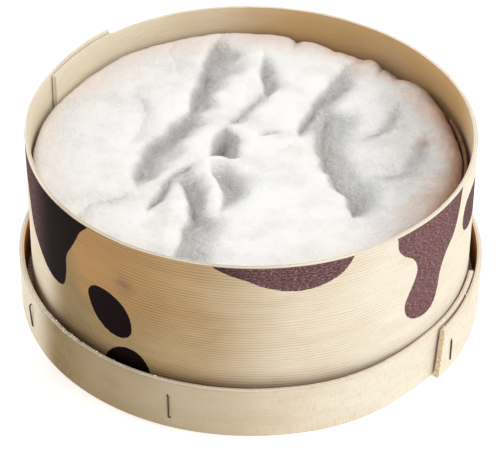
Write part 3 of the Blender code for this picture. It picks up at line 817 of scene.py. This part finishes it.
class Look:
    """One material, built with short calls in which a value can be a number or another node's output."""

    def __init__(self, name, roughness):
        self.material = bpy.data.materials.new(name)
        self.material.use_nodes = True
        self.tree = self.material.node_tree
        self.surface = self.tree.nodes["Principled BSDF"].inputs
        self.surface["Roughness"].default_value = roughness
        coordinates = self.tree.nodes.new("ShaderNodeTexCoord")
        self.place = coordinates.outputs["Object"]

    def put(self, socket, value):
        """Gives a socket a number, a colour as it looks on screen, or another node's output."""
        if isinstance(value, bpy.types.NodeSocket):
            self.tree.links.new(value, socket)
        elif isinstance(value, tuple) and len(value) == 3 and len(socket.default_value) == 4:
            socket.default_value = (*srgb(*value), 1.0)
        else:
            socket.default_value = value

    def attribute(self, name, output="Fac"):
        node = self.tree.nodes.new("ShaderNodeAttribute")
        node.attribute_name = name
        return node.outputs[output]

    def math(self, operation, *values, clamp=False):
        node = self.tree.nodes.new("ShaderNodeMath")
        node.operation = operation
        node.use_clamp = clamp
        for socket, value in zip(node.inputs, values):
            self.put(socket, value)
        return node.outputs[0]

    def times(self, a, b):
        return self.math("MULTIPLY", a, b)

    def plus(self, a, b, clamp=False):
        return self.math("ADD", a, b, clamp=clamp)

    def parts(self, vector):
        node = self.tree.nodes.new("ShaderNodeSeparateXYZ")
        self.put(node.inputs[0], vector)
        return node.outputs

    def distance(self, point):
        """How far the surface is from a point, in metres."""
        node = self.tree.nodes.new("ShaderNodeVectorMath")
        node.operation = "DISTANCE"
        self.put(node.inputs[0], self.place)
        node.inputs[1].default_value = tuple(point)
        return node.outputs["Value"]

    def stretched(self, vector, *scales):
        node = self.tree.nodes.new("ShaderNodeVectorMath")
        node.operation = "MULTIPLY"
        self.put(node.inputs[0], vector)
        node.inputs[1].default_value = scales
        return node.outputs[0]

    def noise(self, vector, scale, detail=2.0, roughness=0.5):
        node = self.tree.nodes.new("ShaderNodeTexNoise")
        self.put(node.inputs["Vector"], vector)
        node.inputs["Scale"].default_value = scale
        node.inputs["Detail"].default_value = detail
        node.inputs["Roughness"].default_value = roughness
        return node.outputs["Fac"]

    def streaks(self, vector, scales, detail=2.0, roughness=0.5):
        """Noise that is drawn out along the axes with a small scale."""
        return self.noise(self.stretched(vector, *scales), 1.0, detail, roughness)

    def span(self, value, low, high, to_low=0.0, to_high=1.0):
        """The value's way from low to high, eased, as a number from to_low to to_high."""
        node = self.tree.nodes.new("ShaderNodeMapRange")
        node.interpolation_type = "SMOOTHSTEP"
        for socket, number in zip(node.inputs, (value, low, high, to_low, to_high)):
            self.put(socket, number)
        return node.outputs[0]

    def mix(self, share, a, b):
        node = self.tree.nodes.new("ShaderNodeMix")
        node.data_type = "RGBA"
        factor, first, second = node.inputs[0], node.inputs[6], node.inputs[7]
        for socket, value in ((factor, share), (first, a), (second, b)):
            self.put(socket, value)
        return node.outputs[2]

    def ramp(self, value, stops):
        """A number eased between stops of (position, number)."""
        node = self.tree.nodes.new("ShaderNodeValToRGB")
        node.color_ramp.interpolation = "EASE"
        elements = node.color_ramp.elements
        while len(elements) < len(stops):
            elements.new(0.5)
        for element, (position, number) in zip(elements, stops):
            element.position = position
            element.color = (number, number, number, 1)
        self.put(node.inputs[0], value)
        return node.outputs[0]

    def turn(self):
        """The way round the box: 0 at the left, 0.25 at the front, 0.5 at the right, 0.75 at the back."""
        x, y, _ = self.parts(self.place)
        return self.plus(self.math("DIVIDE", self.math("ARCTAN2", y, x), math.tau), 0.5)

    def finished(self, colour, normal=None):
        self.put(self.surface["Base Color"], colour)
        if normal is not None:
            self.put(self.surface["Normal"], normal)
        return self.material

    def bump(self, height, distance, strength=1.0, under=None):
        node = self.tree.nodes.new("ShaderNodeBump")
        node.inputs["Strength"].default_value = strength
        node.inputs["Distance"].default_value = distance
        self.put(node.inputs["Height"], height)
        if under is not None:
            self.put(node.inputs["Normal"], under)
        return node.outputs[0]


def veneer(name, grain, tone_stops, inner_colours, printed):
    """Sawn spruce bent round: fine dark growth lines, fibres, stains, pale rims, painted shade on the side
    away from the key light and, if asked, print.
    """
    spacing, line_strength, saw_marks = grain
    look = Look(name, 0.72)
    strip = look.attribute("strip", "Vector")
    along, height, depth = look.parts(strip)

    sway = look.streaks(strip, (9, 60, 20))
    phase = look.plus(look.math("DIVIDE", height, spacing), look.times(sway, LINE_SWAY))
    phase = look.plus(phase, look.times(along, LINE_CLIMB))
    saw = look.math("FRACT", phase)
    line = look.times(look.span(saw, 0.58, 0.9), look.span(saw, 0.995, 0.95))
    weight = look.streaks(strip, (30, 220, 1))
    line = look.times(line, look.span(weight, 0.3, 0.6, 0.35, 1.0))
    fibre = look.streaks(strip, (110, 5200, 300), 3.0, 0.6)
    check = look.streaks(strip, (2600, 240, 300), 2.0, 0.6)

    turn = look.turn()
    outside = look.span(depth, 0.4, 0.9)
    blot = look.streaks(strip, (26, 55, 1), 3.0, 0.55)
    uneven = look.span(blot, 0.3, 0.75, -0.12, 0.14)
    # The tan is partly a stain in the wood and partly painted shade on the side away from the key light
    tan_and_shade = look.plus(look.ramp(turn, tone_stops), uneven, clamp=True)
    # Painted shade: the outer face turns umber on the side of the box that faces away from the key light
    painted_shade = look.plus(look.ramp(turn, SIDE_SHADE), look.times(uneven, tan_and_shade), clamp=True)
    face = look.mix(tan_and_shade, CREAM, TAN)
    face = look.mix(painted_shade, face, SHADE_UMBER)
    pink = look.streaks(strip, (40, 90, 1))
    face = look.mix(look.span(pink, 0.55, 0.75, 0.0, 0.15), face, STAIN)
    if printed:
        ragged_height = look.plus(height, look.times(uneven, SCORCH_RAGGED))
        scorched = look.times(look.ramp(turn, SCORCHED), look.span(ragged_height, SCORCH_LOW, SCORCH_HIGH))
        face = look.mix(look.times(scorched, SCORCH_SHARE), face, SCORCH)
        smudge_place = around(SMUDGE_ANGLE, WALL_RADIUS, SMUDGE_HEIGHT)
        spot = look.span(look.distance(smudge_place), SMUDGE_REACH, 0.0)
        smudge = look.times(spot, look.span(weight, 0.3, 0.6, 0.2, 0.7))
        face = look.mix(smudge, face, INK_THIN)
    # Painted shade: the inside turns tan where it faces away from the key light
    inner_shade = look.plus(look.ramp(turn, INNER_SHADE_RAMP), uneven, clamp=True)
    inner_pale, inner_shade_tan = inner_colours
    face = look.mix(outside, look.mix(inner_shade, inner_pale, inner_shade_tan), face)
    dark_line = look.mix(tan_and_shade, LINE_PALE, LINE_TAN)
    shown = look.times(line, look.span(outside, 0.0, 1.0, 0.3 * line_strength, line_strength))
    face = look.mix(shown, face, dark_line)
    face = look.mix(look.span(fibre, 0.35, 0.68, 0.22, 0.0), face, FIBRE)
    face = look.mix(look.span(check, 0.5, 0.72, 0.0, saw_marks), face, FIBRE)

    if printed:
        bleed = look.streaks(strip, (700, 1600, 1))
        frayed = look.span(bleed, 0.2, 0.8, -PRINT_BLEED, PRINT_BLEED)
        mark = look.plus(look.attribute("print"), frayed)
        inked = look.span(mark, PRINT_EDGE, -PRINT_EDGE)
        thin = look.streaks(strip, (800, 3200, 1), 3.0, 0.7)
        # The ink is near black on the shaded side of the box, which is painted shade, and worn thin and
        # gappy elsewhere
        wear_and_shade = look.ramp(turn, INK_WEAR_AND_SHADE)
        gaps = look.times(look.span(thin, 0.5, 0.66), look.span(wear_and_shade, 0.0, 1.0))
        ink = look.mix(wear_and_shade, INK_DENSE, INK_THIN)
        ink = look.mix(look.times(gaps, INK_WORN), ink, INK_GAP)
        ink = look.mix(look.times(line, INK_LINES), ink, INK_DENSE)
        face = look.mix(inked, face, ink)

    inner_line = look.times(look.span(depth, 0.24, 0.30), look.span(depth, 0.42, 0.35))
    rim_grain = look.streaks(strip, (900, 900, 9), 3.0)
    rim = look.mix(look.span(rim_grain, 0.3, 0.75), RIM_PALE, RIM_TAN)
    rim = look.mix(look.times(inner_line, RIM_LINE_SHARE), rim, RIM_LINE)
    # Painted shade: the rim is darker on the side of the box that faces away from the key light
    rim = look.mix(look.times(look.ramp(turn, SIDE_SHADE), RIM_SHADE), rim, SHADE_UMBER)
    on_rim = look.times(look.span(depth, 0.05, 0.14), look.span(depth, 0.95, 0.86))
    face = look.mix(on_rim, face, rim)
    cut = look.mix(look.span(rim_grain, 0.35, 0.6), CUT_END, RIM_TAN)
    at_end = look.span(along, 0.5 * MM, 0.1 * MM)
    colour = look.mix(at_end, face, cut)

    grooves = look.bump(look.math("SUBTRACT", 1.0, line), GROOVE_DEPTH, 0.8)
    fibres = look.bump(look.plus(fibre, check), FIBRE_DEPTH, 0.7, grooves)
    look.surface["Specular IOR Level"].default_value = 0.04
    return look.finished(colour, fibres)


def rind_look():
    """White bloom over a pinkish-brown rind that shows at the edge, with painted shade down in the creases
    where the bloom is also thinner.
    """
    look = Look("rind_bloom", 0.95)
    crease, inset = look.attribute("crease"), look.attribute("inset")
    patchy = look.noise(look.place, 90, 4.0, 0.55)
    fluff = look.noise(look.place, 900, 4.0, 0.62)
    fine = look.noise(look.place, 1900, 3.0, 0.6)

    edge = look.plus(inset, look.span(patchy, 0.25, 0.75, -TINT_RAGGED, TINT_RAGGED))
    width = look.ramp(look.turn(), EDGE_TINT_WIDTH)
    tint = look.times(look.span(edge, TINT_REACH, 1.0), width)
    colour = look.mix(tint, BLOOM, PINKISH)
    bare = look.times(look.span(inset, BARE_REACH, 0.5), look.span(width, 0.5, 1.0))
    warm = look.noise(look.place, 45, 3.0)
    colour = look.mix(look.span(warm, 0.45, 0.7, 0.0, 0.5), colour, BLOOM_WARM)
    # Painted shade: the bloom turns greyer and, deepest down, browner in the creases, partly thinner bloom
    colour = look.mix(look.span(crease, 0.4, 5.5, 0.0, THIN_BLOOM_SHADE_SHARE), colour, THIN_BLOOM_SHADE)
    deep = look.times(look.span(crease, 3.2, 6.2), look.span(fluff, 0.3, 0.6, 0.55, 1.0))
    colour = look.mix(look.times(deep, CREASE_SHARE), colour, CREASE_SHADE_BROWN)
    speck = look.times(look.span(fine, 0.56, 0.72), look.span(patchy, 0.4, 0.62, 0.1, 0.55))
    colour = look.mix(look.times(speck, SPECK_SHARE), colour, SPECK)
    x, _, _ = look.parts(look.place)
    to_right = look.span(x, ROUGH_FROM * MM, (ROUGH_FROM + ROUGH_REACH) * MM, 0.0, 0.5)
    coarse = look.plus(look.span(crease, 0.3, 2.6, 0.0, 0.75), to_right)
    coarse = look.plus(coarse, look.span(patchy, 0.42, 0.66, 0.08, 0.24), clamp=True)
    # Grey pits in the fluff, denser in the creases, where they are partly painted shade, and to the right
    pits = look.times(look.span(fluff, 0.52, 0.38), coarse)
    colour = look.mix(look.times(pits, PIT_SHARE), colour, PIT)
    colour = look.mix(look.times(bare, BARE_SHARE), colour, BARE_RIND)

    grain = look.plus(look.span(fine, 0.35, 0.65), look.times(look.span(fluff, 0.35, 0.65), 0.8))
    look.surface["Specular IOR Level"].default_value = 0.15
    look.surface["Sheen Weight"].default_value = 0.12
    look.surface["Subsurface Weight"].default_value = 0.04
    look.surface["Subsurface Radius"].default_value = (1.0, 0.8, 0.6)
    look.surface["Subsurface Scale"].default_value = 0.8 * MM
    return look.finished(colour, look.bump(look.times(grain, coarse), RIND_GRAIN_DEPTH))


def bark_look():
    """Dark inner bark, paler and dusty along its upper edge."""
    look = Look("bark_fibre", 0.85)
    strip = look.attribute("strip", "Vector")
    _, height, _ = look.parts(strip)
    fibre = look.streaks(strip, (120, 2600, 400), 3.0)
    colour = look.mix(look.span(fibre, 0.3, 0.7), BARK_DARK, BARK_PALE)
    dust = look.noise(look.place, 1300, 3.0, 0.6)
    top = STRAP_TOPS[-1][1] * MM
    dusty = look.times(look.span(height, top - 3.0 * MM, top), look.span(dust, 0.35, 0.6))
    return look.finished(look.mix(dusty, colour, BARK_DUST), look.bump(fibre, BARK_GRAIN_DEPTH, 0.7))


def board_look():
    """Sawn spruce board with its grain across the box."""
    look = Look("spruce_board", 0.75)
    sway = look.streaks(look.place, (8, 40, 8))
    _, y, _ = look.parts(look.place)
    phase = look.plus(look.math("DIVIDE", y, BOARD_LINE_SPACING), look.times(sway, 3.0))
    line = look.span(look.math("FRACT", phase), 0.6, 0.95)
    fibre = look.streaks(look.place, (90, 3200, 900), 3.0)
    colour = look.mix(look.times(line, BOARD_LINES), CREAM, LINE_TAN)
    colour = look.mix(look.span(fibre, 0.35, 0.7, 0.2, 0.0), colour, FIBRE)
    return look.finished(colour, look.bump(fibre, BOARD_GRAIN_DEPTH, 0.6))


def wire_look():
    look = Look("dark_wire", 0.42)
    dull = look.noise(look.place, 900, 3.0)
    look.put(look.surface["Roughness"], look.span(dull, 0.3, 0.7, 0.32, 0.6))
    look.surface["Metallic"].default_value = 0.85
    return look.finished(look.mix(look.span(dull, 0.4, 0.7), WIRE, WIRE_DULL))


def crumb_look():
    look = Look("wood_fluff", 0.9)
    shade = look.noise(look.place, 700, 2.0)
    return look.finished(look.mix(look.span(shade, 0.3, 0.7), RIM_PALE, RIM_TAN))


# Floor, light and camera


def floor():
    bpy.ops.mesh.primitive_plane_add(size=FLOOR_SIZE, location=(0, 0, 0))
    plane = bpy.context.object
    plane.name = "floor"
    look = Look("pale_floor", 0.9)
    look.surface["Base Color"].default_value = (FLOOR_WHITE, FLOOR_WHITE, FLOOR_WHITE, 1.0)
    look.surface["Specular IOR Level"].default_value = 0.1
    look.surface["Emission Color"].default_value = (1.0, 1.0, 1.0, 1.0)
    look.surface["Emission Strength"].default_value = FLOOR_GLOW
    plane.data.materials.append(look.material)


def soft_light(name, azimuth, elevation, size, level, colour):
    """A square soft light that gives a white surface facing it about that level of brightness."""
    distance = LIGHT_DISTANCE
    lamp = bpy.data.lights.new(name, "AREA")
    lamp.size = size
    lamp.color = colour
    lamp.energy = level * math.pi ** 2 * distance ** 2
    made = bpy.data.objects.new(name, lamp)
    bpy.context.scene.collection.objects.link(made)
    a, e = math.radians(azimuth), math.radians(elevation)
    towards = Vector((math.cos(a) * math.cos(e), math.sin(a) * math.cos(e), math.sin(e)))
    made.location = towards * distance + Vector((0, 0, CHEESE_TOP))
    made.rotation_euler = towards.to_track_quat("Z", "Y").to_euler()


def surroundings():
    world = bpy.data.worlds.new("studio")
    world.use_nodes = True
    background = world.node_tree.nodes["Background"]
    background.inputs["Color"].default_value = (*WORLD_COLOUR, 1.0)
    background.inputs["Strength"].default_value = WORLD_LEVEL
    bpy.context.scene.world = world
    bpy.context.scene.view_settings.view_transform = "Standard"
    for name, light in LIGHTS.items():
        soft_light(name, *light)


def camera():
    """A long lens in front of the box, looking down on it, with the picture's slight roll."""
    data = bpy.data.cameras.new("camera")
    data.lens = CAMERA_LENS
    data.sensor_width = CAMERA_SENSOR
    made = bpy.data.objects.new("camera", data)
    bpy.context.scene.collection.objects.link(made)
    e, r = math.radians(CAMERA_ELEVATION), math.radians(CAMERA_ROLL)
    back = Vector((0, -math.cos(e), math.sin(e)))
    level_up = Vector((0, math.sin(e), math.cos(e)))
    level_right = Vector((1, 0, 0))
    right = math.cos(r) * level_right + math.sin(r) * level_up
    up = math.cos(r) * level_up - math.sin(r) * level_right
    turn = Matrix((right, up, back)).transposed().to_4x4()
    made.matrix_world = Matrix.Translation(CAMERA_PLACE) @ turn
    bpy.context.scene.camera = made


def main():
    surroundings()
    camera()
    floor()

    wall_look = veneer("wall_spruce", WALL_GRAIN, WALL_TAN_AND_SHADE, (INNER_PALE, INNER_SHADE_TAN), printed=True)
    band_look = veneer("band_spruce", BAND_GRAIN, BAND_TAN_AND_SHADE, (BAND_GAP_SHADE_PALE, BAND_GAP_SHADE_TAN),
                       printed=False)
    board, wire, fluff = board_look(), wire_look(), crumb_look()

    wall, band = wall_stations(), band_stations()
    bent_strip("wall_strip", wall, WALL_THICKNESS, WALL_MESH, wall_look, "box_wall",
               printed=True)
    bent_strip("band_strip", band, BAND_THICKNESS, BAND_MESH, band_look, "lid_band",
               slant=BAND_END_SLANT, crumbly=BAND_CRUMBLES)
    bent_strip("bark_strip", strap_stations(), STRAP_THICKNESS, STRAP_MESH, bark_look(), "bark_strap",
               crumbly=STRAP_CRUMBLES)
    cheese(rind_look())
    for node, (angle, low, high, shape) in BAND_STAPLES.items():
        staple(node, band, BAND_THICKNESS, angle, low, high, shape, wire)
    for node, (angle, low, high, shape) in WALL_STAPLES.items():
        staple(node, wall, WALL_THICKNESS, angle, low, high, shape, wire)
    crumbs(fluff)
    splinters(fluff)
    for node in ("box_base", "lid_disc"):
        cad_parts[node].material_slots[0].material = board


main()
